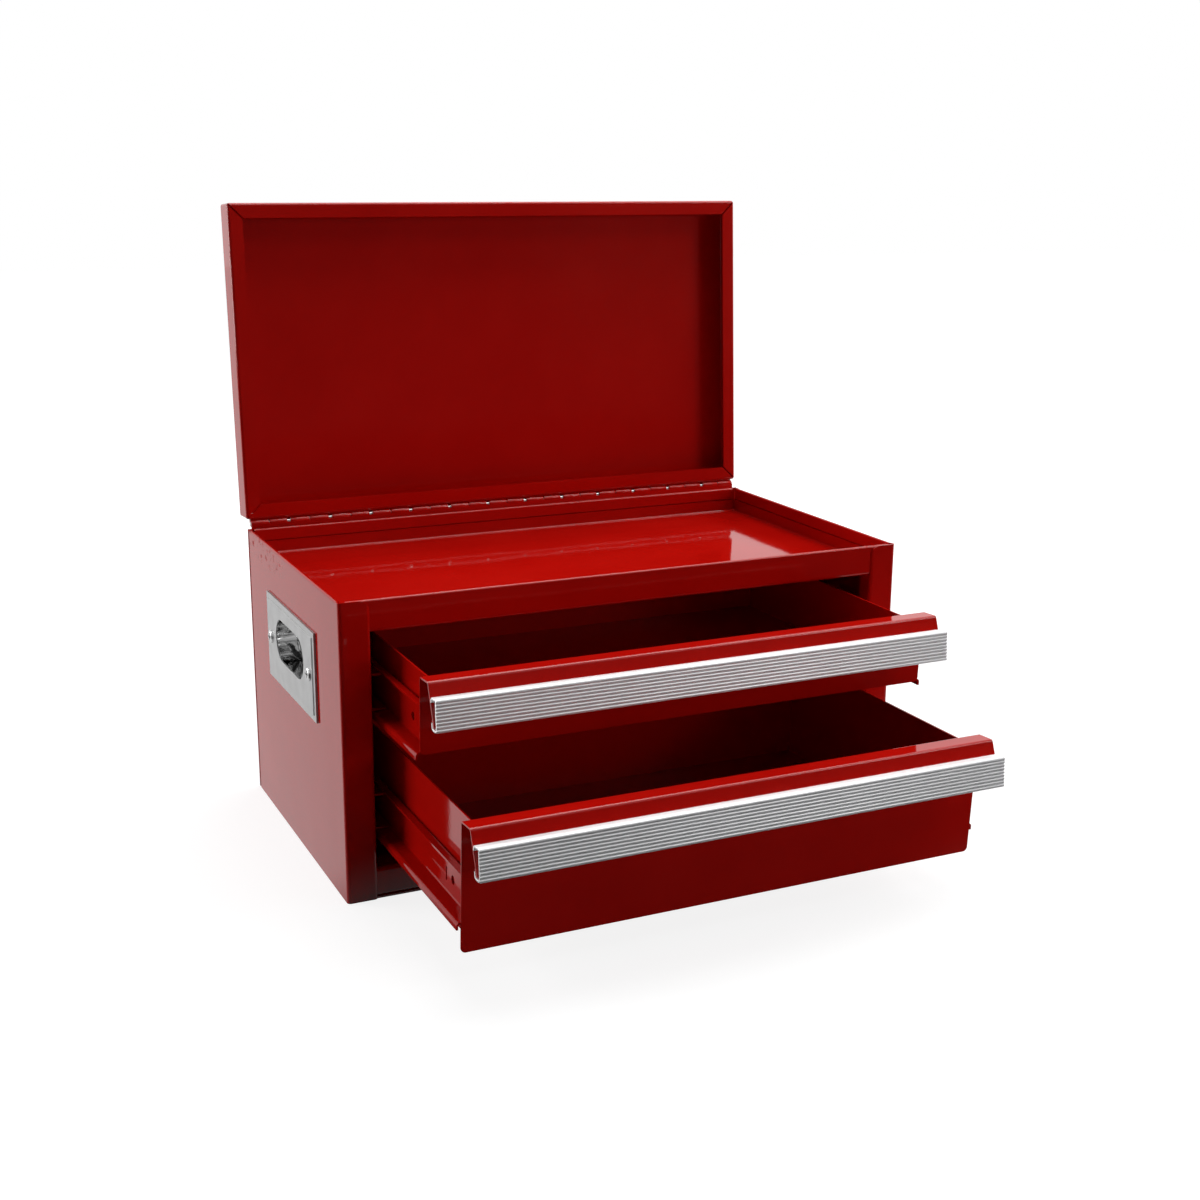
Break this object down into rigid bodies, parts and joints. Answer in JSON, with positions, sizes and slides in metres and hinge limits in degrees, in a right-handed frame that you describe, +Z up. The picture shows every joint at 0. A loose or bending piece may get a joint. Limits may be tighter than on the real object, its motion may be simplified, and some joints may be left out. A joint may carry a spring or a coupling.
{
  "type": "mini tool box",
  "caption": "Small red sheet-steel tool box: hinged lid over a shallow tray, two drawers with ribbed aluminium pulls on runners, recessed side handles.",
  "frame": {"origin": "centre of the cabinet's base, on the surface that the box stands on", "axes": "+X to the right as seen from the front, +Y from the drawers to the rear wall, +Z up"},
  "size_m": [0.3358, 0.3504, 0.3477],
  "materials": {
    "red_enamel": "gloss enamel with a slight orange peel",
    "pull_aluminium": "satin, drawn along its length",
    "grey_enamel": "satin grey",
    "bright_plating": "bright plated",
    "plated_steel": "zinc plated"
  },
  "bodies": {
    "cabinet": {"left_side_panel": "red_enamel", "right_side_panel": "red_enamel", "back_panel": "red_enamel", "base_panel": "red_enamel", "front_bottom_rail": "red_enamel", "front_top_rail": "red_enamel", "tray_floor": "red_enamel", "upper_left_runner": "red_enamel", "upper_right_runner": "red_enamel", "lower_left_runner": "red_enamel", "lower_right_runner": "red_enamel", "left_handle_plate": "grey_enamel", "right_handle_plate": "grey_enamel", "left_handle_cup": "bright_plating", "right_handle_cup": "bright_plating", "handle_screws": "plated_steel", "cabinet_hinge_leaf": "red_enamel", "hinge_pin": "plated_steel"},
    "lid": {"lid_shell": "red_enamel", "lid_hinge_leaf": "red_enamel"},
    "upper_drawer": {"upper_drawer_box": "red_enamel", "upper_drawer_front": "red_enamel", "upper_drawer_pull": "pull_aluminium", "upper_drawer_left_channel": "red_enamel", "upper_drawer_right_channel": "red_enamel"},
    "lower_drawer": {"lower_drawer_box": "red_enamel", "lower_drawer_front": "red_enamel", "lower_drawer_pull": "pull_aluminium", "lower_drawer_left_channel": "red_enamel", "lower_drawer_right_channel": "red_enamel"}
  },
  "joints": [
    {"name": "lid_hinge", "type": "hinge", "parent": "cabinet", "child": "lid", "pos_m": [0, 0.09518, 0.1636], "axis": [1, 0, 0], "range_deg": [0, 93.6]},
    {"name": "upper_drawer_slide", "type": "slide", "parent": "cabinet", "child": "upper_drawer", "axis": [0, -1, 0], "range_m": [-0.059, 0.066]},
    {"name": "lower_drawer_slide", "type": "slide", "parent": "cabinet", "child": "lower_drawer", "axis": [0, -1, 0], "range_m": [-0.1125, 0.0125]}
  ]
}
